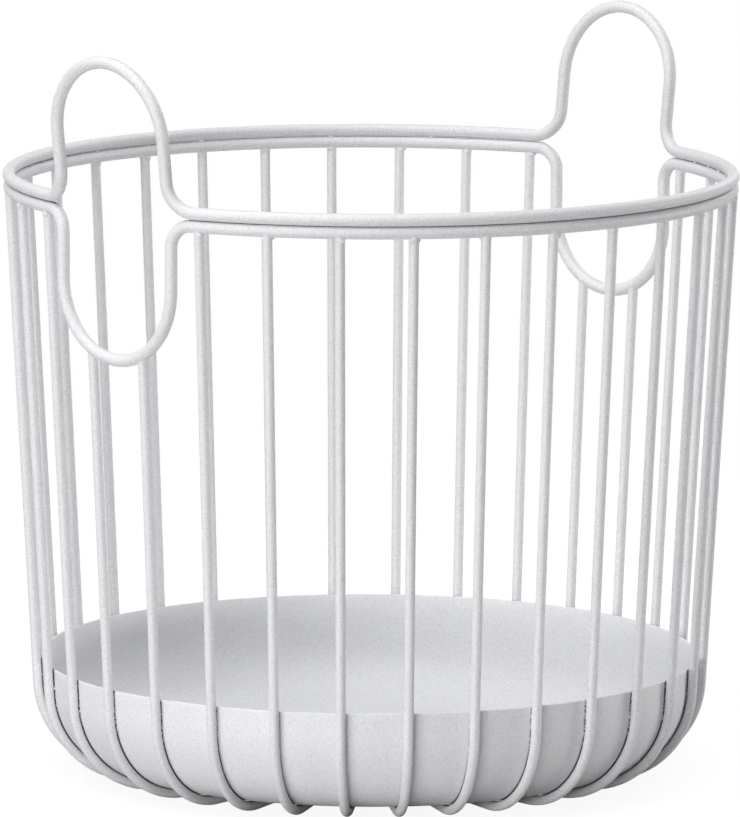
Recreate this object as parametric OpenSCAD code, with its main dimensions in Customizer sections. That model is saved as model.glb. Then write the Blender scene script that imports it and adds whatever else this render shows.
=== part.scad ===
// Round wire basket with two bent-wire handles and a sheet-metal tray base.
// The origin is on the floor in the middle of the basket, with +Z up and a handle on each side along X.
// Every wire is a chain of true bends and straight lengths that run on into each other without a kink.

/* [Basket] */
// Diameter over the upper rim wire
rim_d = 300; // [260:1:340]
// Height of the upper rim wire's top above the floor
rim_h = 249; // [200:1:300]
// Number of staves round the wall
stave_count = 32; // [24, 28, 32, 36]
// Lean of the wall, inwards towards the base, in degrees
wall_taper = 3.1; // [1:0.1:5]

/* [Wires] */
// Thickness of both rim wires
rim_wire_d = 5; // [4:0.1:6]
// Thickness of the stave wire
stave_wire_d = 4; // [3:0.1:5]
// How much smaller the lower rim wire's ring is than the upper one's, measured at the radius
lower_rim_inset = 0.3; // [0:0.1:2]

/* [Handles] */
// Distance between the legs of a handle, from centre to centre
handle_w = 59.6; // [50:0.2:68]
// Height of a handle's arch over the upper rim, from wire centre to wire centre
handle_h = 57; // [48:0.5:75]
// Bend radius between the upper rim and a handle's leg, at the wire's centre
handle_bend_r = 12; // [8:0.5:14]
// Outward lean of a handle, in degrees
handle_lean = 6.6; // [0:0.1:9]

/* [Loops under the handles] */
// Distance between the legs of a loop, from centre to centre
loop_w = 61; // [52:0.2:66]
// Depth of a loop under the lower rim, from wire centre to wire centre
loop_h = 57; // [46:0.5:75]
// Bend radius between the lower rim and a loop's leg, at the wire's centre
loop_bend_r = 9; // [7:0.5:12]

/* [Feet] */
// Bend radius of a stave's foot, at the wire's centre
foot_bend_r = 38; // [28:0.5:50]
// Length of the level run of a stave under the tray
foot_run = 22; // [10:1:40]

/* [Tray] */
// Height of the tray's edge above the floor
tray_h = 48.3; // [44:0.1:70]
// Thickness of the tray's sheet
tray_t = 1; // [0.6:0.1:1.6]

/* [Fits] */
// Weld gap between the two rim wires
rim_gap = 0.1; // [0.05:0.05:0.3]
// Weld gap between a stave's coped end and the rim wire
cope_gap = 0.1; // [0.05:0.05:0.3]
// Gap between the tray and the staves that it nests in
tray_gap = 0.15; // [0.1:0.05:0.4]

/* [Hidden] */
$fn = 64;

// Length and rise of the hair-thin sleeve that laps two stretches of wire or sheet
lap_l = 0.2;
lap_rise = 0.01;
// How far a stave's end laps up round the rim wire's underside
cope_h = 0.7;

// Rings of the two rim wires: radius and height at the wire's centre
rim_wire_r = rim_wire_d / 2;
upper_r = rim_d / 2 - rim_wire_r;
upper_z = rim_h - rim_wire_r;
lower_r = upper_r - lower_rim_inset;
lower_z = upper_z - sqrt(pow(rim_wire_d + rim_gap, 2) - pow(lower_rim_inset, 2));

// Staves: the first one stands half a pitch from the middle of a handle
stave_wire_r = stave_wire_d / 2;
stave_pitch = 360 / stave_count;
foot_z = stave_wire_r + foot_bend_r;
foot_turn = 90 - wall_taper;
foot_top_z = foot_z - foot_bend_r * sin(wall_taper);
foot_top_r = wall_r(foot_top_z);
foot_r = foot_top_r - foot_bend_r * cos(wall_taper);

// Tray: its corner bends about the same centre as the staves' feet, and its edge is rounded over
tray_corner_r = foot_bend_r - stave_wire_r - tray_gap;
tray_edge_r = tray_t / 2 + lap_rise;
tray_wall_l = (tray_h - foot_z + tray_corner_r * sin(wall_taper)) / cos(wall_taper);

// Handle and loop: half widths, and where round the ring their bends start
handle_r = handle_w / 2;
handle_up = [sin(handle_lean), 0, cos(handle_lean)];
handle_a = handle_start(asin(handle_r / upper_r));
loop_r = loop_w / 2;
loop_a = asin(loop_r / norm([lower_r, loop_bend_r])) + atan(loop_bend_r / lower_r);
loop_leg = loop_h - loop_bend_r - loop_r;

function unit(v) = v / norm(v);

function two_digits(i) = str(i < 10 ? "0" : "", i);

function stave_name(i) = str("stave_", two_digits(i));

// Radius of a stave's centre line at height z
function wall_r(z) = upper_r - (lower_z - z) * tan(wall_taper);

// A point of a ring at an angle from the handle's middle, and the way the wire runs there, towards the handle
function ring_point(r, a) = [r * cos(a), r * sin(a), 0];

function ring_way(a) = [sin(a), -cos(a), 0];

// The part of v square to the way a wire runs, as a unit vector
function square_to(v, way) = unit(v - (v * way) * way);

// Where a bend of radius r ends that leaves point p along way and turns to the way out
function bend_end(p, way, out, r) =
  p + r * (norm(cross(way, out)) * way + (1 - way * out) * square_to(out, way));

// Angle at which the ring leaves for a handle, so that the legs stand handle_w apart: each pass corrects the last
function handle_start(a, passes = 6) =
  passes == 0 ? a : handle_start(asin((handle_r + handle_reach(a)) / upper_r), passes - 1);

function handle_reach(a) =
  ring_point(upper_r, a).y - bend_end(ring_point(upper_r, a), ring_way(a), handle_up, handle_bend_r).y;

// Height of the lower rim wire's centre line at distance s from a handle's middle plane
function lower_line_z(s) =
  s < loop_r ? lower_z - loop_bend_r - loop_leg - sqrt(pow(loop_r, 2) - pow(s, 2)) :
  s < loop_r + loop_bend_r ? lower_z - loop_bend_r + sqrt(pow(loop_bend_r, 2) - pow(loop_r + loop_bend_r - s, 2)) :
  lower_z;

// Puts its children at point p, with their X and Y turned to the directions x and y
module placed(p, x, y) {
  z = cross(x, y);
  multmatrix([[x.x, y.x, z.x, p.x], [x.y, y.y, z.y, p.y], [x.z, y.z, z.z, p.z], [0, 0, 0, 1]])
    children();
}

// A bend of a wire that leaves point p along way and turns by an angle towards the direction side
module bend(p, way, side, r, angle, d) {
  inward = square_to(side, way);
  placed(p + r * inward, -inward, way)
    rotate_extrude(angle = angle)
      translate([r, 0])
        circle(d = d);
}

// A straight wire from point p along way
module straight(p, way, length, d) {
  across = square_to([way.y, way.z, way.x], way);
  placed(p, across, cross(way, across))
    cylinder(d = d, h = length);
}

// The sleeve that laps two stretches which meet at point p
module lap(p, way, d) {
  straight(p - way * lap_l / 2, way, lap_l, d + 2 * lap_rise);
}

// The closed part of a ring, on one side of the basket, between its two bends
module ring_side(r, a, d) {
  rotate([0, 0, a])
    rotate_extrude(angle = 180 - 2 * a)
      translate([r, 0])
        circle(d = d);
}

// A leg with its bend, from the ring at angle a up or down along the way out
module leg(r, a, out, bend_r, length, d) {
  start = ring_point(r, a);
  way = ring_way(a);
  foot = bend_end(start, way, out, bend_r);
  lap(start, way, d);
  bend(start, way, out, bend_r, acos(way * out), d);
  lap(foot, out, d);
  straight(foot, out, length, d);
  lap(foot + length * out, out, d);
}

// Both legs and the arch between them
module arched_handle(r, a, out, bend_r, leg_l, d) {
  foot = bend_end(ring_point(r, a), ring_way(a), out, bend_r);
  for (side = [0, 1])
    mirror([0, side, 0])
      leg(r, a, out, bend_r, leg_l, d);
  bend(foot + leg_l * out, out, [0, -1, 0], foot.y, 180, d);
}

// Upper rim wire, bent up into a leaning handle on each side
module upper_rim() {
  foot = bend_end(ring_point(upper_r, handle_a), ring_way(handle_a), handle_up, handle_bend_r);
  leg_l = (handle_h - foot.z) / handle_up.z - handle_r;
  color("whitesmoke")
    translate([0, 0, upper_z])
      for (turn = [0, 180])
        rotate([0, 0, turn]) {
          ring_side(upper_r, handle_a, rim_wire_d);
          arched_handle(upper_r, handle_a, handle_up, handle_bend_r, leg_l, rim_wire_d);
        }
}

// Lower rim wire, bent down into an upright loop under each handle
module lower_rim() {
  color("whitesmoke")
    translate([0, 0, lower_z])
      for (turn = [0, 180])
        rotate([0, 0, turn]) {
          ring_side(lower_r, loop_a, rim_wire_d);
          arched_handle(lower_r, loop_a, [0, 0, -1], loop_bend_r, loop_leg, rim_wire_d);
        }
}

// What a stave's end is coped to: the ring beside the loops, the loop's own bend or its arch
module cope(s) {
  d = rim_wire_d + 2 * cope_gap;
  foot = bend_end(ring_point(lower_r, loop_a), ring_way(loop_a), [0, 0, -1], loop_bend_r);
  translate([0, 0, lower_z]) {
    if (s < loop_r)
      bend(foot + loop_leg * [0, 0, -1], [0, 0, -1], [0, -1, 0], loop_r, 180, d);
    else {
      rotate_extrude()
        translate([lower_r, 0])
          circle(d = d);
      if (s < loop_r + loop_bend_r + stave_wire_r)
        bend(ring_point(lower_r, loop_a), ring_way(loop_a), [0, 0, -1], loop_bend_r, 90, d);
    }
  }
}

// One stave: level foot, bend and tapering upright, coped to the lower rim wire.
// It is drawn in the quarter next to the handle, turned by its own angle, and mirrored into its place.
module stave(i) {
  turn = (i - 0.5) * stave_pitch;
  half_turn = turn > 180 ? 360 - turn : turn;
  near = half_turn > 90 ? 180 - half_turn : half_turn;
  s = upper_r * sin(near);
  on_ring = s >= loop_r;
  end_z = on_ring
    ? lower_line_z(s) - rim_wire_r - cope_gap + cope_h
    : lower_line_z(wall_r(lower_z - loop_h) * sin(near));
  upright_way = [sin(wall_taper), 0, cos(wall_taper)];
  upright_foot = [foot_top_r, 0, foot_top_z];
  foot = [foot_r, 0, stave_wire_r];
  color("white")
    mirror([0, turn > 180 ? 1 : 0, 0])
      mirror([half_turn > 90 ? 1 : 0, 0, 0])
        difference() {
          rotate([0, 0, near]) {
            straight(foot, [-1, 0, 0], foot_run, stave_wire_d);
            lap(foot, [1, 0, 0], stave_wire_d);
            bend(foot, [1, 0, 0], [0, 0, 1], foot_bend_r, foot_turn, stave_wire_d);
            lap(upright_foot, upright_way, stave_wire_d);
            straight(upright_foot, upright_way, (end_z - foot_top_z) / upright_way.z, stave_wire_d);
          }
          cope(s);
        }
}

// Tray: a thin dish that follows the staves' feet, with its cut edge rounded over
module tray() {
  color("gainsboro")
    rotate_extrude() {
      translate([0, foot_z - tray_corner_r])
        square([foot_r, tray_t]);
      translate([foot_r, foot_z]) {
        difference() {
          intersection() {
            circle(r = tray_corner_r);
            rotate(-90)
              polygon(corner_wedge(foot_turn, 2 * tray_corner_r));
          }
          circle(r = tray_corner_r - tray_t);
        }
        for (turn = [0, foot_turn])
          rotate(turn)
            translate([-lap_l / 2, -tray_corner_r - lap_rise])
              square([lap_l, tray_t + 2 * lap_rise]);
        rotate(-wall_taper)
          translate([tray_corner_r - tray_t, 0]) {
            square([tray_t, tray_wall_l - tray_edge_r]);
            translate([tray_t / 2, tray_wall_l - tray_edge_r])
              circle(r = tray_edge_r);
          }
      }
    }
}

// A wedge from the X axis round to an angle, with its sides longer than the circle that it cuts
function corner_wedge(angle, side) = [
  [0, 0],
  [side, 0],
  [side * cos(angle / 2), side * sin(angle / 2)] / cos(angle / 2),
  [side * cos(angle), side * sin(angle)]
];

upper_rim();
lower_rim();
tray();
for (i = [1:stave_count])
  stave(i);
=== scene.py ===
"""Looks of a round basket of bent and welded steel wire, with two handles and a sheet-metal tray base."""

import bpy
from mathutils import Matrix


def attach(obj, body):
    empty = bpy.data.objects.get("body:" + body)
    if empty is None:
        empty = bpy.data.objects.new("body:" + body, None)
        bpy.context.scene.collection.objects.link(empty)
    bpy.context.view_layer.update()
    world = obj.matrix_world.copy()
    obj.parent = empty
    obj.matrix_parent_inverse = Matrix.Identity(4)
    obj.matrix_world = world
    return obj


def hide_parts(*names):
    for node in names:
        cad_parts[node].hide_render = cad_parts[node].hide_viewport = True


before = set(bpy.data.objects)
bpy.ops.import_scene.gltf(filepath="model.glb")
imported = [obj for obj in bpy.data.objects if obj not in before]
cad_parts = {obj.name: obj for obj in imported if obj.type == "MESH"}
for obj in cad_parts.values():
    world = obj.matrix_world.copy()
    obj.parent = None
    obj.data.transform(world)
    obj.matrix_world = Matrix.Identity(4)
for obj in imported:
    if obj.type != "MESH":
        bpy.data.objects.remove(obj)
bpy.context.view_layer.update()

from math import acos, asin, cos, pi, radians, sin, sqrt, tan

import bmesh
import bpy
from mathutils import Euler, Matrix, Vector

mm = 0.001

# The photograph's place: a long lens, well back from the basket and a little above its rim,
# which looks between the two handles so that one stands front left and the other back right.
camera_place = Vector((-2.3747, -2.2987, 0.6624))
camera_heading = radians(-45.93)
camera_dip = radians(8.823)
camera_roll = radians(0.217)
camera_lens = 360.1
camera_near = 0.1
camera_far = 100

camera = bpy.data.objects.new("camera", bpy.data.cameras.new("camera"))
bpy.context.scene.collection.objects.link(camera)
camera.data.lens = camera_lens
camera.data.clip_start = camera_near
camera.data.clip_end = camera_far
aim = Euler((pi / 2 - camera_dip, 0, camera_heading)).to_matrix() @ Matrix.Rotation(camera_roll, 3, "Z")
camera.matrix_world = Matrix.Translation(camera_place) @ aim.to_4x4()
bpy.context.scene.camera = camera


# The studio: a small table in a white room that is brighter on the camera's left, with soft boxes round it:
# low and high on the left, low and flat on the right, and weaker ones high in front, behind and above.
# The camera sees everything round the basket pure white, and the table takes only a faint shadow.
table_half = 0.8
white = (1, 1, 1, 1)
table_bounce = (0.5, 0.5, 0.5, 1)
table_shadow_share = 0.14
table_glow = 1.06
room_light = 0.015
room_shine_left = 1.0
room_shine_right = 0.3
lamp_reach = 2.0
lamp_target = Vector((0, 0, 0.12))

scene = bpy.context.scene
scene.view_settings.view_transform = "Standard"


def place(tree, kind, inputs=None, **settings):
    """Adds a node to a tree, sets its options, and gives each input a value or a link."""
    made = tree.nodes.new(kind)
    for name, value in settings.items():
        setattr(made, name, value)
    for key, value in (inputs or {}).items():
        if isinstance(value, bpy.types.NodeSocket):
            tree.links.new(value, made.inputs[key])
        else:
            made.inputs[key].default_value = value
    return made


def empty_material(name):
    """A material with only its output node, and that node."""
    made = bpy.data.materials.new(name)
    made.use_nodes = True
    made.node_tree.nodes.clear()
    return made, made.node_tree.nodes.new("ShaderNodeOutputMaterial")


def maths(tree, what, first, second=0.0):
    """One sum of two values or sockets."""
    return place(tree, "ShaderNodeMath", {0: first, 1: second}, operation=what).outputs[0]


def sees_white(tree):
    """1 for what the camera sees, 0 for the light that falls on the basket."""
    path = place(tree, "ShaderNodeLightPath").outputs
    return maths(tree, "MAXIMUM", path["Is Camera Ray"], path["Is Transmission Ray"])


def lamp(name, bearing, climb, width, height, power):
    """A soft box that faces the basket, at a bearing counted from the camera round to its right."""
    out = Vector((0, -cos(radians(climb)), sin(radians(climb)))) * lamp_reach
    spot = lamp_target + Matrix.Rotation(camera_heading + radians(bearing), 3, "Z") @ out
    made = bpy.data.objects.new(name, bpy.data.lights.new(name, "AREA"))
    made.data.shape = "RECTANGLE"
    made.data.size = width
    made.data.size_y = height
    made.data.energy = power
    made.data.color = white[:3]
    made.location = spot
    made.rotation_euler = (lamp_target - spot).to_track_quat("-Z", "Y").to_euler()
    scene.collection.objects.link(made)


room = bpy.data.worlds.new("room")
room.use_nodes = True
scene.world = room
room_nodes = room.node_tree
room_nodes.nodes.clear()
room_glossy = place(room_nodes, "ShaderNodeLightPath").outputs["Is Glossy Ray"]
camera_left = (-cos(camera_heading), -sin(camera_heading), 0)
room_leftness = place(room_nodes, "ShaderNodeVectorMath", {
    0: place(room_nodes, "ShaderNodeTexCoord").outputs["Generated"], 1: camera_left,
}, operation="DOT_PRODUCT").outputs["Value"]
room_shine = place(room_nodes, "ShaderNodeMapRange", {
    "Value": room_leftness, "From Min": -1.0, "From Max": 1.0,
    "To Min": room_shine_right, "To Max": room_shine_left,
}).outputs[0]
room_strength = maths(
    room_nodes, "ADD", maths(room_nodes, "MAXIMUM", sees_white(room_nodes), room_light),
    maths(room_nodes, "MULTIPLY", room_glossy, room_shine),
)
room_background = place(room_nodes, "ShaderNodeBackground", {"Color": white, "Strength": room_strength})
place(room_nodes, "ShaderNodeOutputWorld", {"Surface": room_background.outputs[0]})

table_finish, table_out = empty_material("table_paint")
table_nodes = table_finish.node_tree
table_sight = sees_white(table_nodes)
table_colour = place(
    table_nodes, "ShaderNodeMix", {0: table_sight, 6: table_bounce, 7: white}, data_type="RGBA",
)
table_paint = place(table_nodes, "ShaderNodeBsdfDiffuse", {"Color": table_colour.outputs[2]})
table_white = place(table_nodes, "ShaderNodeEmission", {"Color": white, "Strength": table_glow})
table_mix = place(table_nodes, "ShaderNodeMixShader", {
    0: maths(table_nodes, "MULTIPLY", table_sight, 1 - table_shadow_share),
    1: table_paint.outputs[0], 2: table_white.outputs[0],
})
table_nodes.links.new(table_mix.outputs[0], table_out.inputs["Surface"])

table_mesh = bpy.data.meshes.new("table")
table_corners = [(x * table_half, y * table_half, 0) for x, y in ((-1, -1), (1, -1), (1, 1), (-1, 1))]
table_mesh.from_pydata(table_corners, [], [(0, 1, 2, 3)])
table_mesh.materials.append(table_finish)
table = bpy.data.objects.new("table", table_mesh)
scene.collection.objects.link(table)

lamp("low_left", bearing=-30, climb=0, width=1.7, height=0.24, power=25.5)
lamp("low_right", bearing=104, climb=-1.1, width=0.9, height=0.18, power=15.5)
lamp("high_left", bearing=-62, climb=60, width=1.7, height=0.9, power=20)
lamp("high_front", bearing=27, climb=60, width=1.7, height=0.9, power=6)
lamp("back_right", bearing=140, climb=30, width=0.9, height=0.6, power=8)
lamp("above", bearing=0, climb=88, width=1.2, height=1.2, power=13.5)


# The two rim wires: 5 mm steel wire, each bent cold into one closed ring and butt-welded.
# The upper one rises into a leaning handle on each side, and the lower one, tacked on under it,
# drops into a loop below each handle. The whole basket is powder coated after it is welded.
rim_wire = 5.0 * mm
rim_wire_r = rim_wire / 2
rim_gap = 0.1 * mm
upper_ring_r = 147.5 * mm
upper_ring_z = 246.5 * mm
lower_ring_inset = 0.3 * mm
lower_ring_r = upper_ring_r - lower_ring_inset
lower_ring_z = upper_ring_z - sqrt((rim_wire + rim_gap) ** 2 - lower_ring_inset ** 2)
handle_half = 29.8 * mm
handle_rise = 57 * mm
handle_bend = 12 * mm
handle_lean = radians(6.6)
loop_half = 30.5 * mm
loop_drop = 57 * mm
loop_bend = 9 * mm
ring_step = radians(1.5)
bend_step = radians(4)
rim_sides = 32
leave_tries = 6
coat_tone = (0.81, 0.814, 0.831, 1)
# Darker pits of the grain: painted shade that stands in for the grain's own shading.
wire_pit_shade_tone = (0.67, 0.675, 0.69, 1)
# Near black: the painted shade laid in the grooves where parts touch.
groove_shade_tone = (0.12, 0.121, 0.124, 1)
sand_detail = 2.5
sand_roughness = 0.62
pebble_softness = 0.6
pebble_edge = 0.9
pebble_share = 0.4
pit_height = 0.3
crown_height = 0.6
drift_pitch = 23 * mm
drift_detail = 2.0
drift_low = 0.995
drift_high = 1.005
coat_ior = 1.5
dullness_spread = 0.1
rim_grain = 0.65 * mm
rim_grain_depth = 0.23 * mm
rim_dullness = 0.44
smooth_limit = radians(50)
seam_r = (upper_ring_r + lower_ring_r) / 2
seam_z = (upper_ring_z + lower_ring_z) / 2
# How far the painted shade reaches out from the groove between the rim wires.
seam_shade_full = 0.4 * mm
seam_shade_end = 0.75 * mm


def fade(tree, value, full, end):
    """1 where a value is on the near side of one limit, 0 past the other, and a soft step between them."""
    return place(tree, "ShaderNodeMapRange", {
        "Value": value, "From Min": full, "From Max": end, "To Min": 1.0, "To Max": 0.0,
    }, interpolation_type="SMOOTHSTEP").outputs[0]


def length_of(tree, along, across):
    """The length of a straight line that goes so far along and so far across."""
    line = place(tree, "ShaderNodeCombineXYZ", {0: along, 1: across}).outputs[0]
    return place(tree, "ShaderNodeVectorMath", {0: line}, operation="LENGTH").outputs["Value"]


def distance_out(tree, spot):
    """How far a point stands from the basket's middle line, and how high."""
    parts = place(tree, "ShaderNodeSeparateXYZ", {0: spot}).outputs
    return length_of(tree, parts[0], parts[1]), parts[2]


def coat_group():
    """The powder coat's surface: a fine pebble grain with painted shade in its pits, and near-black painted
    shade in the grooves where parts touch.
    """
    tree = bpy.data.node_groups.new("powder_coat", "ShaderNodeTree")
    for label, kind, value in (
        ("Position", "Vector", None), ("Grain", "Float", rim_grain), ("Tone", "Color", coat_tone),
        ("Pit Shade Tone", "Color", wire_pit_shade_tone), ("Dullness", "Float", rim_dullness),
        ("Dullness Spread", "Float", dullness_spread), ("Groove Shade", "Float", 0.0),
        ("Groove Shade Tone", "Color", groove_shade_tone),
    ):
        socket = tree.interface.new_socket(label, in_out="INPUT", socket_type="NodeSocket" + kind)
        if value is not None:
            socket.default_value = value
    for label, kind in (("Color", "Color"), ("Roughness", "Float"), ("Height", "Float")):
        tree.interface.new_socket(label, in_out="OUTPUT", socket_type="NodeSocket" + kind)
    inlet = tree.nodes.new("NodeGroupInput").outputs
    outlet = tree.nodes.new("NodeGroupOutput").inputs
    fineness = maths(tree, "DIVIDE", 1.0, inlet["Grain"])
    sand = place(
        tree, "ShaderNodeTexNoise",
        {"Vector": inlet["Position"], "Scale": fineness, "Detail": sand_detail, "Roughness": sand_roughness},
    ).outputs["Fac"]
    pebbles = place(
        tree, "ShaderNodeTexVoronoi",
        {"Vector": inlet["Position"], "Scale": fineness, "Smoothness": pebble_softness}, feature="SMOOTH_F1",
    ).outputs["Distance"]
    drift = place(
        tree, "ShaderNodeTexNoise",
        {"Vector": inlet["Position"], "Scale": 1 / drift_pitch, "Detail": drift_detail},
    ).outputs["Fac"]
    crown = place(
        tree, "ShaderNodeMapRange", {"Value": pebbles, "From Max": pebble_edge, "To Min": 1.0, "To Max": 0.0},
    ).outputs[0]
    height = place(tree, "ShaderNodeMix", {0: pebble_share, 2: sand, 3: crown}, data_type="FLOAT").outputs[0]
    high_share = place(
        tree, "ShaderNodeMapRange", {"Value": height, "From Min": pit_height, "From Max": crown_height},
    ).outputs[0]
    # The grain's pits painted darker: painted shade of the grain's relief.
    pit_shaded_coat = place(
        tree, "ShaderNodeMix", {0: high_share, 6: inlet["Pit Shade Tone"], 7: inlet["Tone"]}, data_type="RGBA",
    ).outputs[2]
    drift_tone = place(
        tree, "ShaderNodeMapRange", {"Value": drift, "To Min": drift_low, "To Max": drift_high},
    ).outputs[0]
    coat_outside_grooves = place(
        tree, "ShaderNodeVectorMath", {0: pit_shaded_coat, 3: drift_tone}, operation="SCALE",
    ).outputs[0]
    # The grooves' near-black painted shade laid over the coat.
    coat_colour = place(
        tree, "ShaderNodeMix",
        {0: inlet["Groove Shade"], 6: coat_outside_grooves, 7: inlet["Groove Shade Tone"]}, data_type="RGBA",
    ).outputs[2]
    dullness = place(
        tree, "ShaderNodeMath", {0: drift, 1: inlet["Dullness Spread"], 2: inlet["Dullness"]},
        operation="MULTIPLY_ADD",
    ).outputs[0]
    tree.links.new(coat_colour, outlet["Color"])
    tree.links.new(dullness, outlet["Roughness"])
    tree.links.new(height, outlet["Height"])
    return tree


powder_coat = coat_group()


def coated(name, grain, depth, pit_shade_tone, dullness, groove_shade=None):
    """White powder coat on one kind of piece, with its own grain, and painted shade in its grooves if it has
    any.
    """
    made, out = empty_material(name)
    tree = made.node_tree
    spot = place(tree, "ShaderNodeTexCoord").outputs["Object"]
    coat = place(tree, "ShaderNodeGroup", node_tree=powder_coat)
    tree.links.new(spot, coat.inputs["Position"])
    coat.inputs["Grain"].default_value = grain
    coat.inputs["Pit Shade Tone"].default_value = pit_shade_tone
    coat.inputs["Dullness"].default_value = dullness
    # Painted shade in the piece's grooves, where it has any.
    if groove_shade:
        tree.links.new(groove_shade(tree, spot), coat.inputs["Groove Shade"])
    bump = place(tree, "ShaderNodeBump", {"Height": coat.outputs["Height"], "Distance": depth})
    shell = place(
        tree, "ShaderNodeBsdfPrincipled",
        {
            "Base Color": coat.outputs["Color"], "Roughness": coat.outputs["Roughness"],
            "Normal": bump.outputs[0], "IOR": coat_ior,
        },
    )
    tree.links.new(shell.outputs[0], out.inputs["Surface"])
    return made


def tree_with(name, inputs):
    """A Geometry Nodes tree with named inputs and one mesh coming out, and its input sockets."""
    tree = bpy.data.node_groups.new(name, "GeometryNodeTree")
    for label, kind, value in inputs:
        socket = tree.interface.new_socket(label, in_out="INPUT", socket_type="NodeSocket" + kind)
        if value is not None:
            socket.default_value = value
    tree.interface.new_socket("Mesh", in_out="OUTPUT", socket_type="NodeSocketGeometry")
    return tree, tree.nodes.new("NodeGroupInput").outputs


def close_tree(tree, mesh, finish):
    """Ends a tree: instances become real, and the mesh goes out smooth and in its finish."""
    real = place(tree, "GeometryNodeRealizeInstances", {"Geometry": mesh}).outputs[0]
    smooth = place(tree, "GeometryNodeSetShadeSmooth", {"Geometry": real}).outputs[0]
    coated_mesh = place(tree, "GeometryNodeSetMaterial", {"Geometry": smooth, "Material": finish}).outputs[0]
    tree.links.new(coated_mesh, tree.nodes.new("NodeGroupOutput").inputs["Mesh"])


def run_tree(name, tree, values, start=None):
    """Runs a tree once with these inputs, and gives its result as a plain mesh piece."""
    maker = bpy.data.objects.new(name + "_maker", start or bpy.data.meshes.new(name + "_start"))
    scene.collection.objects.link(maker)
    steps = maker.modifiers.new("make", "NODES")
    steps.node_group = tree
    for socket in tree.interface.items_tree:
        if socket.in_out == "INPUT" and socket.name in values:
            steps[socket.identifier] = values[socket.name]
    bpy.context.view_layer.update()
    mesh = bpy.data.meshes.new_from_object(maker.evaluated_get(bpy.context.evaluated_depsgraph_get()))
    bpy.data.objects.remove(maker)
    mesh.name = name
    mesh.set_sharp_from_angle(angle=smooth_limit)
    piece = bpy.data.objects.new(name, mesh)
    scene.collection.objects.link(piece)
    return piece


wire_tree, wire_in = tree_with("round_wire", [
    ("Path", "Geometry", None), ("Thickness", "Float", rim_wire), ("Sides", "Int", rim_sides),
    ("Finish", "Material", None),
])
wire_mesh = place(wire_tree, "GeometryNodeCurveToMesh", {
    "Curve": place(wire_tree, "GeometryNodeMeshToCurve", {"Mesh": wire_in["Path"]}).outputs[0],
    "Profile Curve": place(wire_tree, "GeometryNodeCurvePrimitiveCircle", {
        "Resolution": wire_in["Sides"], "Radius": maths(wire_tree, "MULTIPLY", wire_in["Thickness"], 0.5),
    }).outputs[0],
    "Fill Caps": True,
})
close_tree(wire_tree, wire_mesh.outputs[0], wire_in["Finish"])


def square_part(side, way):
    """The unit vector square to the way a wire runs, on the side asked for."""
    return (side - side.dot(way) * way).normalized()


def bend_wire(route, way, side, radius, turn, step):
    """Carries a route on round a bend, and gives the way it runs afterwards."""
    inward = square_part(side, way)
    centre = route[-1] + inward * radius
    steps = max(2, round(turn / step))
    for k in range(1, steps + 1):
        angle = turn * k / steps
        route.append(centre - inward * radius * cos(angle) + way * radius * sin(angle))
    return way * cos(turn) + inward * sin(turn)


def rim_route(ring_r, ring_z, out, half, height, bend_r):
    """A rim wire's middle line: half the ring with a handle or loop, and the same turned by 180 degrees."""
    leave = asin(half / ring_r)
    for _ in range(leave_tries):
        way = Vector((sin(leave), -cos(leave), 0))
        start = Vector((ring_r * cos(leave), ring_r * sin(leave), ring_z))
        bend_turn = acos(way.dot(out))
        first = [start]
        bend_wire(first, way, out, bend_r, bend_turn, bend_step)
        leave = asin((half + start.y - first[-1].y) / ring_r)
    leg = (height - abs(first[-1].z - ring_z)) / abs(out.z) - half
    route = [start]
    way = bend_wire(route, way, out, bend_r, bend_turn, bend_step)
    route.append(route[-1] + leg * way)
    way = bend_wire(route, way, Vector((0, -1, 0)), half, pi, bend_step)
    route.append(route[-1] + leg * way)
    onward = Vector((-sin(leave), -cos(leave), 0))
    way = bend_wire(route, way, onward, bend_r, bend_turn, bend_step)
    middle = Vector((0, 0, ring_z))
    bend_wire(route, way, middle - route[-1], ring_r, pi - 2 * leave, ring_step)
    half_route = route[:-1]
    return half_route + [Vector((-p.x, -p.y, p.z)) for p in half_route]


def rim_piece(name, route, finish):
    """One rim wire, swept along its closed route."""
    count = len(route)
    line = bpy.data.meshes.new(name + "_line")
    line.from_pydata(route, [(i, (i + 1) % count) for i in range(count)], [])
    return run_tree(
        name, wire_tree, {"Thickness": rim_wire, "Sides": rim_sides, "Finish": finish}, start=line,
    )


def shade_in_seam(tree, spot):
    """Where painted shade darkens the tight groove between the two rim wires, all round where they touch."""
    out, up = distance_out(tree, spot)
    away = length_of(tree, maths(tree, "SUBTRACT", out, seam_r), maths(tree, "SUBTRACT", up, seam_z))
    return fade(tree, away, seam_shade_full, seam_shade_end)


rim_coat = coated("rim_powder_coat", rim_grain, rim_grain_depth, wire_pit_shade_tone, rim_dullness, shade_in_seam)
handle_way = Vector((sin(handle_lean), 0, cos(handle_lean)))
upper_rim = rim_piece(
    "upper_rim_wire",
    rim_route(upper_ring_r, upper_ring_z, handle_way, handle_half, handle_rise, handle_bend),
    rim_coat,
)
lower_rim = rim_piece(
    "lower_rim_wire",
    rim_route(lower_ring_r, lower_ring_z, Vector((0, 0, -1)), loop_half, loop_drop, loop_bend),
    rim_coat,
)
for piece, node in ((upper_rim, "upper_rim"), (lower_rim, "lower_rim")):
    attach(piece, "root")
    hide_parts(node)


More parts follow.
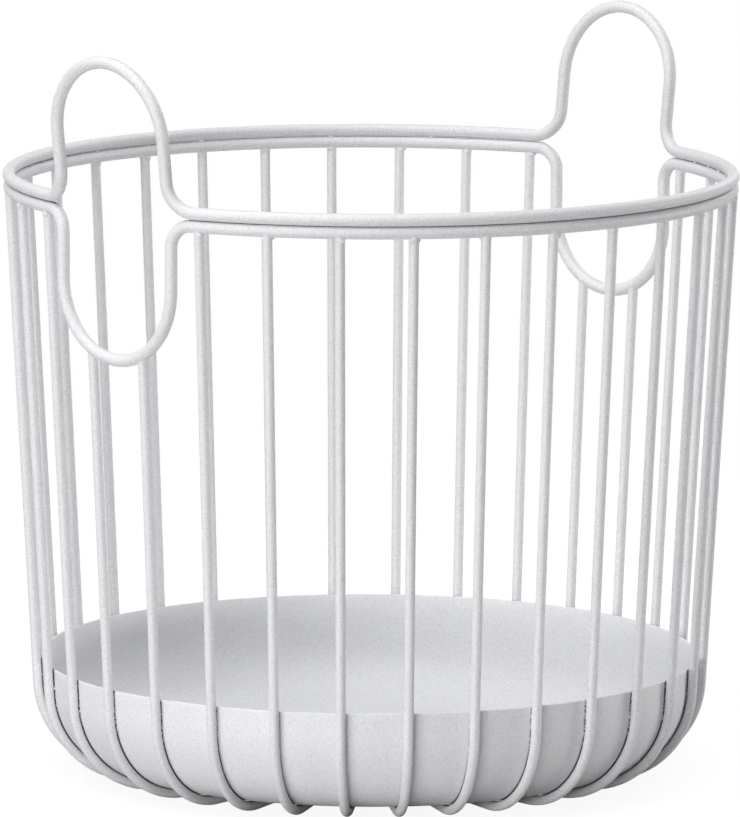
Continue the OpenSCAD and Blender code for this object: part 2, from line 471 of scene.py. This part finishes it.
# The staves: 32 cut lengths of 4 mm wire. Each lies level under the tray, turns up in a wide bend
# and leans out to the lower rim wire, where its end is welded on, or to the loop below a handle.
stave_count = 32
stave_wire = 4.0 * mm
stave_wire_r = stave_wire / 2
stave_sides = 24
wall_lean = radians(3.1)
foot_bend = 38 * mm
foot_level = 22 * mm
foot_level_parts = 4
foot_bend_parts = 26
upright_parts = 30
stave_end_sink = 0.5 * mm
stave_grain = 0.62 * mm
stave_grain_depth = 0.23 * mm
stave_dullness = 0.46
stave_pitch = 2 * pi / stave_count
foot_centre_z = stave_wire_r + foot_bend
foot_turn = pi / 2 - wall_lean
upright_start_z = foot_centre_z - foot_bend * sin(wall_lean)


def wall_r(z):
    """Radius of a stave's middle line at height z."""
    return upper_ring_r - (lower_ring_z - z) * tan(wall_lean)


foot_centre_r = wall_r(upright_start_z) - foot_bend * cos(wall_lean)


def turned(tree, spot, angle):
    """A point or a direction, turned round the basket's middle line."""
    return place(
        tree, "ShaderNodeVectorRotate", {"Vector": spot, "Angle": angle}, rotation_type="Z_AXIS",
    ).outputs[0]


def put_at(tree, mesh, spots):
    """A mesh with its points moved to new places."""
    return place(tree, "GeometryNodeSetPosition", {"Geometry": mesh, "Position": spots}).outputs[0]


stave_tree, stave_in = tree_with("stave", [
    ("Thickness", "Float", stave_wire), ("Sides", "Int", stave_sides),
    ("Bend Middle Radius", "Float", foot_centre_r), ("Level Run", "Float", foot_level),
    ("Bend", "Float", foot_bend), ("Turn", "Float", foot_turn),
    ("Upright", "Float", lower_ring_z - upright_start_z), ("Place Round Basket", "Float", 0.0),
    ("Finish", "Material", None),
])
bend_from = foot_level_parts
upright_from = foot_level_parts + foot_bend_parts
path_parts = upright_from + upright_parts
step_number = place(stave_tree, "GeometryNodeInputIndex").outputs[0]


def share_of(start, end, whole):
    """What a stretch of the path adds by the time it reaches a point: 0 before it, its whole after it."""
    return place(stave_tree, "ShaderNodeMapRange", {
        "Value": step_number, "From Min": float(start), "From Max": float(end),
        "To Min": 0.0, "To Max": whole,
    }).outputs[0]


level_done = share_of(0, bend_from, stave_in["Level Run"])
turn_done = share_of(bend_from, upright_from, stave_in["Turn"])
upright_done = share_of(upright_from, path_parts, stave_in["Upright"])
level_start = maths(stave_tree, "SUBTRACT", stave_in["Bend Middle Radius"], stave_in["Level Run"])
bend_out = maths(stave_tree, "MULTIPLY", stave_in["Bend"], maths(stave_tree, "SINE", turn_done))
bend_up = maths(
    stave_tree, "MULTIPLY", stave_in["Bend"],
    maths(stave_tree, "SUBTRACT", 1.0, maths(stave_tree, "COSINE", turn_done)),
)
upright_out = maths(stave_tree, "MULTIPLY", upright_done, maths(stave_tree, "COSINE", stave_in["Turn"]))
upright_up = maths(stave_tree, "MULTIPLY", upright_done, maths(stave_tree, "SINE", stave_in["Turn"]))
path_out = maths(
    stave_tree, "ADD", maths(stave_tree, "ADD", level_start, level_done),
    maths(stave_tree, "ADD", bend_out, upright_out),
)
path_up = maths(
    stave_tree, "ADD", maths(stave_tree, "MULTIPLY", stave_in["Thickness"], 0.5),
    maths(stave_tree, "ADD", bend_up, upright_up),
)
path_point = place(stave_tree, "ShaderNodeCombineXYZ", {0: path_out, 2: path_up}).outputs[0]
path_line = place(stave_tree, "GeometryNodeMeshLine", {"Count": path_parts + 1}).outputs[0]
path_set = put_at(stave_tree, path_line, turned(stave_tree, path_point, stave_in["Place Round Basket"]))
stave_body = place(stave_tree, "GeometryNodeGroup", node_tree=wire_tree)
for label, link in (
    ("Path", path_set), ("Thickness", stave_in["Thickness"]), ("Sides", stave_in["Sides"]),
    ("Finish", stave_in["Finish"]),
):
    stave_tree.links.new(link, stave_body.inputs[label])
close_tree(stave_tree, stave_body.outputs[0], stave_in["Finish"])

# The strip of painted shade on each stave, where it lies against the tray.
contact_shade_full = 1.85 * mm
contact_shade_end = 1.4 * mm
tray_height = 48.3 * mm
tray_top_fade = 0.4 * mm


def depth_in_wall(tree, spot):
    """How far a point lies outside the staves' middle line (inside is below 0), and how high it is."""
    out, up = distance_out(tree, spot)
    line_r = maths(tree, "ADD", maths(tree, "MULTIPLY", up, tan(wall_lean)), wall_r(0))
    straight = maths(tree, "MULTIPLY", maths(tree, "SUBTRACT", out, line_r), cos(wall_lean))
    past_centre = maths(tree, "MAXIMUM", maths(tree, "SUBTRACT", out, foot_centre_r), 0.0)
    from_centre = length_of(tree, past_centre, maths(tree, "SUBTRACT", up, foot_centre_z))
    bent = maths(tree, "SUBTRACT", from_centre, foot_bend)
    is_straight = maths(tree, "GREATER_THAN", up, upright_start_z)
    depth = place(
        tree, "ShaderNodeMix", {0: is_straight, 2: bent, 3: straight}, data_type="FLOAT",
    ).outputs[0]
    return depth, up


def shade_on_stave(tree, spot):
    """Where painted shade darkens each stave: the narrow strip that lies against the tray."""
    depth, up = depth_in_wall(tree, spot)
    inner = maths(tree, "MULTIPLY", depth, -1.0)
    strip = place(tree, "ShaderNodeMapRange", {
        "Value": inner, "From Min": contact_shade_end, "From Max": contact_shade_full,
    }, interpolation_type="SMOOTHSTEP").outputs[0]
    return maths(tree, "MULTIPLY", strip, fade(tree, up, tray_height - tray_top_fade, tray_height))


stave_coat = coated(
    "stave_powder_coat", stave_grain, stave_grain_depth, wire_pit_shade_tone, stave_dullness, shade_on_stave,
)
loop_arch_z = lower_ring_z - loop_drop + loop_half


def stave_end_z(turn):
    """Height of a stave's end, just inside the wire that it is welded to: the ring, or the loop's arch."""
    beside = abs(upper_ring_r * sin(turn))
    if beside > loop_half:
        return lower_ring_z - stave_end_sink
    at_arch = abs(wall_r(lower_ring_z - loop_drop) * sin(turn))
    return loop_arch_z - sqrt(loop_half ** 2 - at_arch ** 2)


for number in range(1, stave_count + 1):
    turn = (number - 0.5) * stave_pitch
    piece = run_tree(f"stave_wire_{number:02d}", stave_tree, {
        "Thickness": stave_wire, "Sides": stave_sides, "Bend Middle Radius": foot_centre_r,
        "Level Run": foot_level, "Bend": foot_bend, "Turn": foot_turn,
        "Upright": (stave_end_z(turn) - upright_start_z) / cos(wall_lean),
        "Place Round Basket": turn, "Finish": stave_coat,
    })
    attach(piece, "root")
    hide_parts(f"stave_{number:02d}")


# The tray: one pressing of 1 mm sheet steel, a flat floor that turns up in a wide corner to a low
# leaning wall with its cut edge rounded over. It nests in the staves' bends and is spot welded there.
tray_sheet = 1.0 * mm
tray_gap = 0.15 * mm
# Darker pits of the tray's grain: painted shade that stands in for the grain's own shading.
tray_pit_shade_tone = (0.715, 0.72, 0.735, 1)
tray_grain = 0.8 * mm
tray_grain_depth = 0.27 * mm
tray_dullness = 0.48
# The strips of painted shade on the tray's outside, beside each stave.
tray_shade_full = 1.1 * mm
tray_shade_end = 1.8 * mm
tray_outside = 2.5 * mm
# The lumps, high on the wall, where that painted shade is left out.
shade_gap_pitch = 1.1 * mm
shade_gap_low = 27 * mm
shade_gap_full = 33 * mm
shade_gap_lumps_all = 0.44
shade_gap_lumps_none = 0.5
tray_round_parts = 192
tray_floor_parts = 10
tray_corner_parts = 20
tray_wall_parts = 4
tray_edge_parts = 8
tray_merge = 0.001 * mm
tray_mid_bend = foot_bend - stave_wire_r - tray_gap - tray_sheet / 2
tray_wall_start_z = foot_centre_z - tray_mid_bend * sin(wall_lean)
tray_wall = (tray_height - tray_sheet / 2 - tray_wall_start_z) / cos(wall_lean)


def tray_middle(floor_done, turn_done, wall_done):
    """A point on the middle of the sheet, and the way towards the inside of the tray there."""
    out = floor_done * foot_centre_r + tray_mid_bend * sin(turn_done) + wall_done * cos(foot_turn)
    up = foot_centre_z - tray_mid_bend * cos(turn_done) + wall_done * sin(foot_turn)
    return Vector((out, 0, up)), Vector((-sin(turn_done), 0, cos(turn_done)))


tray_stations = (
    [tray_middle(k / tray_floor_parts, 0, 0) for k in range(tray_floor_parts)]
    + [tray_middle(1, foot_turn * k / tray_corner_parts, 0) for k in range(tray_corner_parts)]
    + [tray_middle(1, foot_turn, tray_wall * k / tray_wall_parts) for k in range(tray_wall_parts + 1)]
)
tray_edge, tray_edge_inward = tray_stations[-1]
tray_edge_up = Vector((sin(wall_lean), 0, cos(wall_lean)))
tray_outline = [point + inward * tray_sheet / 2 for point, inward in tray_stations]
tray_outline += [
    tray_edge + (tray_edge_inward * cos(angle) + tray_edge_up * sin(angle)) * tray_sheet / 2
    for angle in (pi * k / tray_edge_parts for k in range(1, tray_edge_parts))
]
tray_outline += [point - inward * tray_sheet / 2 for point, inward in reversed(tray_stations)]


def shade_on_tray(tree, spot):
    """Where painted shade darkens the tray's outside: narrow strips against the staves, left out in lumps
    high up.
    """
    depth, up = depth_in_wall(tree, spot)
    parts = place(tree, "ShaderNodeSeparateXYZ", {0: spot}).outputs
    pitches = maths(tree, "DIVIDE", maths(tree, "ARCTAN2", parts[1], parts[0]), stave_pitch)
    off_stave = maths(tree, "ABSOLUTE", maths(tree, "SUBTRACT", maths(tree, "FRACT", pitches), 0.5))
    out, _ = distance_out(tree, spot)
    beside = maths(tree, "MULTIPLY", maths(tree, "MULTIPLY", off_stave, stave_pitch), out)
    outside = maths(tree, "LESS_THAN", maths(tree, "MULTIPLY", depth, -1.0), tray_outside)
    # In lumps high on the wall, the painted shade is left out.
    lumps = place(
        tree, "ShaderNodeTexNoise", {"Vector": spot, "Scale": 1 / shade_gap_pitch, "Detail": 0.0},
    ).outputs["Fac"]
    shade_gaps = maths(
        tree, "MULTIPLY", fade(tree, lumps, shade_gap_lumps_all, shade_gap_lumps_none),
        fade(tree, up, shade_gap_full, shade_gap_low),
    )
    shaded_groove = maths(tree, "MULTIPLY", maths(tree, "SUBTRACT", 1.0, shade_gaps), outside)
    return maths(tree, "MULTIPLY", fade(tree, beside, tray_shade_full, tray_shade_end), shaded_groove)


tray_bm = bmesh.new()
tray_line = [tray_bm.verts.new(point) for point in tray_outline]
tray_edges = [tray_bm.edges.new(pair) for pair in zip(tray_line, tray_line[1:])]
bmesh.ops.spin(
    tray_bm, geom=tray_line + tray_edges, cent=(0, 0, 0), axis=(0, 0, 1), angle=2 * pi,
    steps=tray_round_parts, use_merge=True,
)
bmesh.ops.remove_doubles(tray_bm, verts=tray_bm.verts, dist=tray_merge)
bmesh.ops.recalc_face_normals(tray_bm, faces=tray_bm.faces)
for face in tray_bm.faces:
    face.smooth = True
tray_mesh = bpy.data.meshes.new("tray_pressing")
tray_bm.to_mesh(tray_mesh)
tray_bm.free()
tray_mesh.materials.append(
    coated("tray_powder_coat", tray_grain, tray_grain_depth, tray_pit_shade_tone, tray_dullness, shade_on_tray)
)
tray = bpy.data.objects.new("tray_pressing", tray_mesh)
scene.collection.objects.link(tray)
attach(tray, "root")
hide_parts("tray")


# The butt welds at the staves' tops: each cut end was pressed on the rim wire and resistance welded,
# and the metal that was squeezed out stands round the joint as an uneven, rounded lip under the coat.
lip_down = 0.45 * mm
lip_along = 0.25 * mm
lip_fullness = 0.8
lip_unevenness = 1.3
weld_sink = 0.1 * mm
lip_sides = 20
lip_rows = 5
lip_ray = 15 * mm
lip_start_below = 6 * mm
lip_noise = 170.0
lip_seed = 3.0
lip_seed_apart = 7.0
weld_grain = 0.8 * mm
weld_grain_depth = 0.25 * mm
weld_dullness = 0.42


def vectors(tree, what, first, second=(0, 0, 0), scale=1.0):
    """One sum of two vectors or sockets, or one vector scaled."""
    return place(tree, "ShaderNodeVectorMath", {0: first, 1: second, 3: scale}, operation=what).outputs[0]


def between(tree, share, first, second):
    """The point that lies the given share of the way from one point to another."""
    return place(tree, "ShaderNodeMix", {0: share, 4: first, 5: second}, data_type="VECTOR").outputs[1]


def hold(tree, mesh, value):
    """Keeps a vector on a mesh's points while they move: the mesh, and what it holds."""
    made = tree.nodes.new("GeometryNodeCaptureAttribute")
    made.capture_items.new("VECTOR", "Held")
    tree.links.new(mesh, made.inputs[0])
    tree.links.new(value, made.inputs["Held"])
    return made.outputs[0], made.outputs["Held"]


def unevenness(tree, where, seed, amount):
    """A factor about 1 that wanders with the place, by the amount asked for."""
    wander = place(
        tree, "ShaderNodeTexNoise", {"Vector": where, "W": seed, "Scale": 1.0}, noise_dimensions="4D",
    ).outputs["Fac"]
    swing = maths(tree, "MULTIPLY", maths(tree, "SUBTRACT", wander, 0.5), 2.0)
    return maths(tree, "ADD", maths(tree, "MULTIPLY", swing, amount), 1.0)


lip_tree, lip_in = tree_with("butt_weld_lip", [
    ("Tops", "Geometry", None), ("Rim", "Object", None), ("Thickness", "Float", stave_wire),
    ("Lean", "Float", wall_lean), ("Lip Down Stave", "Float", lip_down),
    ("Lip Along Rim", "Float", lip_along), ("Fullness", "Float", lip_fullness),
    ("Unevenness", "Float", lip_unevenness), ("Seed", "Float", lip_seed), ("Finish", "Material", None),
])
lip_place = place(lip_tree, "GeometryNodeInputPosition").outputs[0]
lip_cup = place(lip_tree, "GeometryNodeMeshCylinder", {
    "Vertices": lip_sides, "Side Segments": lip_rows, "Radius": 1.0, "Depth": 1.0,
}, fill_type="TRIANGLE_FAN").outputs[0]
lip_tops, lip_top = hold(lip_tree, lip_in["Tops"], lip_place)
lip_ring, lip_on_ring = hold(lip_tree, lip_cup, lip_place)
lip_copies = place(
    lip_tree, "GeometryNodeInstanceOnPoints", {"Points": lip_tops, "Instance": lip_ring},
).outputs[0]
lip_mesh = place(lip_tree, "GeometryNodeRealizeInstances", {"Geometry": lip_copies}).outputs[0]
lip_outward = vectors(lip_tree, "NORMALIZE", vectors(lip_tree, "MULTIPLY", lip_top, (1, 1, 0)))
lip_round = vectors(lip_tree, "CROSS_PRODUCT", (0, 0, 1), lip_outward)
lip_lean_out = vectors(lip_tree, "SCALE", lip_outward, scale=maths(lip_tree, "SINE", lip_in["Lean"]))
lip_lean_up = vectors(lip_tree, "SCALE", (0, 0, 1), scale=maths(lip_tree, "COSINE", lip_in["Lean"]))
lip_up = vectors(lip_tree, "ADD", lip_lean_out, lip_lean_up)
lip_out = vectors(lip_tree, "CROSS_PRODUCT", lip_round, lip_up)
lip_parts = place(lip_tree, "ShaderNodeSeparateXYZ", {0: lip_on_ring}).outputs
lip_side = vectors(
    lip_tree, "ADD", vectors(lip_tree, "SCALE", lip_out, scale=lip_parts[0]),
    vectors(lip_tree, "SCALE", lip_round, scale=lip_parts[1]),
)
lip_rise = maths(lip_tree, "ADD", lip_parts[2], 0.5)
lip_half = maths(lip_tree, "MULTIPLY", lip_in["Thickness"], 0.5)
lip_rim = place(lip_tree, "GeometryNodeObjectInfo", {"Object": lip_in["Rim"]}).outputs["Geometry"]
lip_from = vectors(lip_tree, "ADD", lip_top, vectors(lip_tree, "SCALE", lip_side, scale=lip_half))
lip_corner = place(lip_tree, "GeometryNodeRaycast", {
    "Target Geometry": lip_rim, "Source Position": lip_from, "Ray Direction": lip_up, "Ray Length": lip_ray,
}).outputs["Hit Position"]
lip_spot = vectors(lip_tree, "ADD", lip_side, vectors(lip_tree, "SCALE", lip_top, scale=lip_noise))
lip_drop = maths(
    lip_tree, "MULTIPLY", lip_in["Lip Down Stave"],
    unevenness(lip_tree, lip_spot, lip_in["Seed"], lip_in["Unevenness"]),
)
lip_other_seed = maths(lip_tree, "ADD", lip_in["Seed"], lip_seed_apart)
lip_reach = maths(
    lip_tree, "MULTIPLY", lip_in["Lip Along Rim"],
    unevenness(lip_tree, lip_spot, lip_other_seed, lip_in["Unevenness"]),
)
lip_below = vectors(lip_tree, "SUBTRACT", lip_corner, vectors(lip_tree, "SCALE", lip_up, scale=lip_drop))
lip_foot = vectors(lip_tree, "SUBTRACT", lip_below, vectors(lip_tree, "SCALE", lip_side, scale=weld_sink))
lip_aim = vectors(lip_tree, "ADD", lip_corner, vectors(lip_tree, "SCALE", lip_side, scale=lip_reach))
lip_near = place(
    lip_tree, "GeometryNodeProximity", {0: lip_rim, "Sample Position": lip_aim}, target_element="FACES",
).outputs["Position"]
lip_tip = vectors(lip_tree, "ADD", lip_near, vectors(lip_tree, "SCALE", lip_up, scale=weld_sink))
lip_far = vectors(lip_tree, "ADD", lip_foot, vectors(lip_tree, "SUBTRACT", lip_tip, lip_corner))
lip_crest = between(lip_tree, lip_in["Fullness"], lip_corner, lip_far)
lip_curve = between(
    lip_tree, lip_rise, between(lip_tree, lip_rise, lip_foot, lip_crest),
    between(lip_tree, lip_rise, lip_crest, lip_tip),
)
close_tree(lip_tree, put_at(lip_tree, lip_mesh, lip_curve), lip_in["Finish"])

stave_turns = [(number + 0.5) * stave_pitch for number in range(stave_count)]
lip_heights = [stave_end_z(turn) - lip_start_below for turn in stave_turns]
lip_starts = bpy.data.meshes.new("stave_tops")
lip_starts.from_pydata(
    [(wall_r(z) * cos(turn), wall_r(z) * sin(turn), z) for turn, z in zip(stave_turns, lip_heights)], [], [],
)
weld_coat = coated("weld_powder_coat", weld_grain, weld_grain_depth, wire_pit_shade_tone, weld_dullness)
stave_top_welds = run_tree("stave_top_welds", lip_tree, {
    "Rim": lower_rim, "Thickness": stave_wire, "Lean": wall_lean, "Lip Down Stave": lip_down,
    "Lip Along Rim": lip_along, "Fullness": lip_fullness, "Unevenness": lip_unevenness, "Seed": lip_seed,
    "Finish": weld_coat,
}, start=lip_starts)
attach(stave_top_welds, "root")


# The tacks between the two rim wires: short drops of weld in the inner groove, at most of the staves
# and here and there between them, with none where the wires part for the handles.
tack_length = 2.2 * mm
tack_width = 1.1 * mm
tack_height = 1.1 * mm
tack_spread = 0.4
tack_inward = 1.3 * mm
tack_wander = 1.6 * mm
tack_free_half = 45 * mm
tack_share_at_staves = 0.8
tack_share_between = 0.22
nub_roughness = 0.25 * mm
nub_grain = 0.9 * mm
nub_facets = 2
tack_seed = 5
tack_slip_seed = 11
tack_choice_seed = 12

drop_inputs = [
    ("Length", "Float", tack_length), ("Width", "Float", tack_width), ("Height", "Float", tack_height),
    ("Spread", "Float", tack_spread), ("Roughness", "Float", nub_roughness), ("Seed", "Int", tack_seed),
    ("Finish", "Material", None),
]
nub_tree, nub_in = tree_with("weld_drops", [("Places", "Geometry", None)] + drop_inputs)
nub_place = place(nub_tree, "GeometryNodeInputPosition").outputs[0]
nub_parts = place(nub_tree, "ShaderNodeSeparateXYZ", {0: nub_place}).outputs
nub_turn = maths(nub_tree, "ADD", maths(nub_tree, "ARCTAN2", nub_parts[1], nub_parts[0]), pi / 2)
nub_sizes = place(nub_tree, "ShaderNodeCombineXYZ", {
    0: nub_in["Length"], 1: nub_in["Width"], 2: nub_in["Height"],
}).outputs[0]
nub_growth = place(nub_tree, "FunctionNodeRandomValue", {
    "Min": maths(nub_tree, "SUBTRACT", 1.0, nub_in["Spread"]),
    "Max": maths(nub_tree, "ADD", 1.0, nub_in["Spread"]), "Seed": nub_in["Seed"],
}, data_type="FLOAT_VECTOR").outputs[0]
nub_ball = place(
    nub_tree, "GeometryNodeMeshIcoSphere", {"Radius": 0.5, "Subdivisions": nub_facets},
).outputs[0]
nub_copies = place(nub_tree, "GeometryNodeInstanceOnPoints", {
    "Points": nub_in["Places"], "Instance": nub_ball,
    "Rotation": place(nub_tree, "ShaderNodeCombineXYZ", {2: nub_turn}).outputs[0],
    "Scale": vectors(nub_tree, "MULTIPLY", nub_sizes, nub_growth),
}).outputs[0]
nub_mesh = place(nub_tree, "GeometryNodeRealizeInstances", {"Geometry": nub_copies}).outputs[0]
nub_lumps = place(
    nub_tree, "ShaderNodeTexNoise", {"Vector": nub_place, "Scale": 1 / nub_grain, "Detail": 1.0},
).outputs["Fac"]
nub_push = maths(nub_tree, "MULTIPLY", maths(nub_tree, "SUBTRACT", nub_lumps, 0.5), nub_in["Roughness"])
nub_set = place(nub_tree, "GeometryNodeSetPosition", {
    "Geometry": nub_mesh,
    "Offset": vectors(
        nub_tree, "SCALE", place(nub_tree, "GeometryNodeInputNormal").outputs[0],
        scale=maths(nub_tree, "MULTIPLY", nub_push, 2.0),
    ),
}).outputs[0]
close_tree(nub_tree, nub_set, nub_in["Finish"])


def end_with_drops(tree, inlet, places):
    """Ends a tree with a drop of weld at each of its places."""
    drops = place(tree, "GeometryNodeGroup", node_tree=nub_tree)
    tree.links.new(places, drops.inputs["Places"])
    for label, _, _ in drop_inputs:
        tree.links.new(inlet[label], drops.inputs[label])
    close_tree(tree, drops.outputs[0], inlet["Finish"])


def random_part(tree, low, high, seed):
    """A random value between two others, for each point of its own."""
    return place(
        tree, "FunctionNodeRandomValue", {2: low, 3: high, "Seed": seed}, data_type="FLOAT",
    ).outputs[1]


def random_slip(tree, reach, seed):
    """A random slip of each point either way, as far as the reach."""
    return random_part(tree, maths(tree, "MULTIPLY", reach, -1.0), reach, seed)


tack_tree, tack_in = tree_with("rim_tacks", [
    ("Staves", "Int", stave_count), ("Seam Radius", "Float", seam_r), ("Seam Height", "Float", seam_z),
    ("Inward", "Float", tack_inward), ("Wander", "Float", tack_wander),
    ("Free Half", "Float", tack_free_half), ("Share At Staves", "Float", tack_share_at_staves),
    ("Share Between", "Float", tack_share_between),
] + drop_inputs)
tack_count = maths(tack_tree, "MULTIPLY", tack_in["Staves"], 2.0)
tack_number = place(tack_tree, "GeometryNodeInputIndex").outputs[0]
tack_slip = maths(
    tack_tree, "DIVIDE", random_slip(tack_tree, tack_in["Wander"], tack_slip_seed), tack_in["Seam Radius"],
)
tack_turn = maths(
    tack_tree, "ADD", tack_slip,
    maths(tack_tree, "DIVIDE", maths(tack_tree, "MULTIPLY", tack_number, 2 * pi), tack_count),
)
tack_r = maths(tack_tree, "SUBTRACT", tack_in["Seam Radius"], tack_in["Inward"])
tack_at_zero = place(tack_tree, "ShaderNodeCombineXYZ", {0: tack_r, 2: tack_in["Seam Height"]}).outputs[0]
tack_line = place(tack_tree, "GeometryNodeMeshLine", {"Count": tack_count}).outputs[0]
tack_share = place(tack_tree, "ShaderNodeMix", {
    0: maths(tack_tree, "MODULO", tack_number, 2.0),
    2: tack_in["Share Between"], 3: tack_in["Share At Staves"],
}, data_type="FLOAT").outputs[0]
tack_left_out = maths(
    tack_tree, "GREATER_THAN", random_part(tack_tree, 0.0, 1.0, tack_choice_seed), tack_share,
)
tack_beside = maths(
    tack_tree, "ABSOLUTE", maths(tack_tree, "MULTIPLY", tack_r, maths(tack_tree, "SINE", tack_turn)),
)
tack_at_handle = maths(tack_tree, "LESS_THAN", tack_beside, tack_in["Free Half"])
tack_dots = place(tack_tree, "GeometryNodeDeleteGeometry", {
    "Geometry": put_at(tack_tree, tack_line, turned(tack_tree, tack_at_zero, tack_turn)),
    "Selection": maths(tack_tree, "MAXIMUM", tack_left_out, tack_at_handle),
}).outputs[0]
end_with_drops(tack_tree, tack_in, tack_dots)
rim_tack_welds = run_tree("rim_tack_welds", tack_tree, {
    "Staves": stave_count, "Seam Radius": seam_r, "Seam Height": seam_z, "Inward": tack_inward,
    "Wander": tack_wander, "Free Half": tack_free_half, "Share At Staves": tack_share_at_staves,
    "Share Between": tack_share_between, "Length": tack_length, "Width": tack_width, "Height": tack_height,
    "Spread": tack_spread, "Roughness": nub_roughness, "Seed": tack_seed, "Finish": weld_coat,
})
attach(rim_tack_welds, "root")


# The buttons of weld on the staves' tops: metal squeezed out to one side of each butt joint, outside and
# inside the basket, as a small flat lump under the rim wire.
button_wander = 1.0 * mm
button_below = 0.55 * mm
button_out = 1.55 * mm
button_length = 2.9 * mm
button_width = 1.3 * mm
button_height = 1.8 * mm
button_spread = 0.35
button_seed = 4
button_slip_seed = 31
buttons_per_stave = 2

button_tree, button_in = tree_with("top_buttons", [
    ("Tops", "Geometry", None), ("Out From Stave", "Float", button_out), ("Wander", "Float", button_wander),
] + drop_inputs)
button_place = place(button_tree, "GeometryNodeInputPosition").outputs[0]
button_outward = vectors(button_tree, "NORMALIZE", vectors(button_tree, "MULTIPLY", button_place, (1, 1, 0)))
button_round = vectors(button_tree, "CROSS_PRODUCT", (0, 0, 1), button_outward)
button_even = maths(button_tree, "MODULO", place(button_tree, "GeometryNodeInputIndex").outputs[0], 2.0)
button_side = maths(button_tree, "SUBTRACT", maths(button_tree, "MULTIPLY", button_even, 2.0), 1.0)
button_shift = vectors(
    button_tree, "SCALE", button_outward,
    scale=maths(button_tree, "MULTIPLY", button_side, button_in["Out From Stave"]),
)
button_slip = vectors(
    button_tree, "SCALE", button_round,
    scale=random_slip(button_tree, button_in["Wander"], button_slip_seed),
)
button_dots = place(button_tree, "GeometryNodeSetPosition", {
    "Geometry": button_in["Tops"], "Offset": vectors(button_tree, "ADD", button_shift, button_slip),
}).outputs[0]
end_with_drops(button_tree, button_in, button_dots)
button_rows = [
    (wall_r(z) * cos(turn), wall_r(z) * sin(turn), z)
    for turn in stave_turns
    for z in [min(stave_end_z(turn), lower_ring_z - rim_wire_r) - button_below] * buttons_per_stave
]
button_starts = bpy.data.meshes.new("button_places")
button_starts.from_pydata(button_rows, [], [])
top_buttons = run_tree("stave_top_buttons", button_tree, {
    "Out From Stave": button_out, "Wander": button_wander, "Length": button_length, "Width": button_width,
    "Height": button_height, "Spread": button_spread, "Roughness": nub_roughness, "Seed": button_seed,
    "Finish": weld_coat,
}, start=button_starts)
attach(top_buttons, "root")


# The spot welds that hold the tray: small beads and spatter in the grooves on both sides of each stave,
# where the stave's upright part meets the tray's outer wall.
spot_per_side = 2
spot_low = 31 * mm
spot_high = 46 * mm
spot_beside = 1.1 * mm
spot_proud = 0.15 * mm
spot_length = 0.6 * mm
spot_width = 0.6 * mm
spot_height = 0.9 * mm
spot_spread = 0.5
spot_seed = 8
spot_rise_seed = 21

spot_tree, spot_in = tree_with("tray_spots", [
    ("Staves", "Int", stave_count), ("Spots A Side", "Int", spot_per_side), ("Tray", "Object", None),
    ("Lowest", "Float", spot_low), ("Highest", "Float", spot_high), ("Beside Stave", "Float", spot_beside),
    ("Proud Of Tray", "Float", spot_proud), ("Start Radius", "Float", upper_ring_r),
] + drop_inputs)
spot_number = place(spot_tree, "GeometryNodeInputIndex").outputs[0]
spot_each = maths(spot_tree, "MULTIPLY", spot_in["Spots A Side"], 2.0)
spot_count = maths(spot_tree, "MULTIPLY", spot_in["Staves"], spot_each)
spot_stave = maths(spot_tree, "FLOOR", maths(spot_tree, "DIVIDE", spot_number, spot_each))
spot_turn = maths(
    spot_tree, "DIVIDE",
    maths(spot_tree, "MULTIPLY", maths(spot_tree, "ADD", spot_stave, 0.5), 2 * pi), spot_in["Staves"],
)
spot_side = maths(
    spot_tree, "SUBTRACT",
    maths(spot_tree, "MULTIPLY", maths(spot_tree, "MODULO", spot_number, 2.0), 2.0), 1.0,
)
spot_rise = random_part(spot_tree, spot_in["Lowest"], spot_in["Highest"], spot_rise_seed)
spot_start = place(spot_tree, "ShaderNodeCombineXYZ", {
    0: spot_in["Start Radius"], 1: maths(spot_tree, "MULTIPLY", spot_side, spot_in["Beside Stave"]),
    2: spot_rise,
}).outputs[0]
spot_inward = turned(spot_tree, (-1, 0, 0), spot_turn)
spot_tray = place(spot_tree, "GeometryNodeObjectInfo", {"Object": spot_in["Tray"]}).outputs["Geometry"]
spot_hit = place(spot_tree, "GeometryNodeRaycast", {
    "Target Geometry": spot_tray, "Source Position": turned(spot_tree, spot_start, spot_turn),
    "Ray Direction": spot_inward, "Ray Length": spot_in["Start Radius"],
}).outputs["Hit Position"]
spot_back = maths(spot_tree, "MULTIPLY", spot_in["Proud Of Tray"], -1.0)
spot_point = vectors(spot_tree, "ADD", spot_hit, vectors(spot_tree, "SCALE", spot_inward, scale=spot_back))
spot_line = place(spot_tree, "GeometryNodeMeshLine", {"Count": spot_count}).outputs[0]
end_with_drops(spot_tree, spot_in, put_at(spot_tree, spot_line, spot_point))
tray_spot_welds = run_tree("tray_spot_welds", spot_tree, {
    "Staves": stave_count, "Spots A Side": spot_per_side, "Tray": tray, "Lowest": spot_low,
    "Highest": spot_high, "Beside Stave": spot_beside, "Proud Of Tray": spot_proud,
    "Start Radius": upper_ring_r, "Length": spot_length, "Width": spot_width, "Height": spot_height,
    "Spread": spot_spread, "Roughness": nub_roughness, "Seed": spot_seed, "Finish": weld_coat,
})
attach(tray_spot_welds, "root")
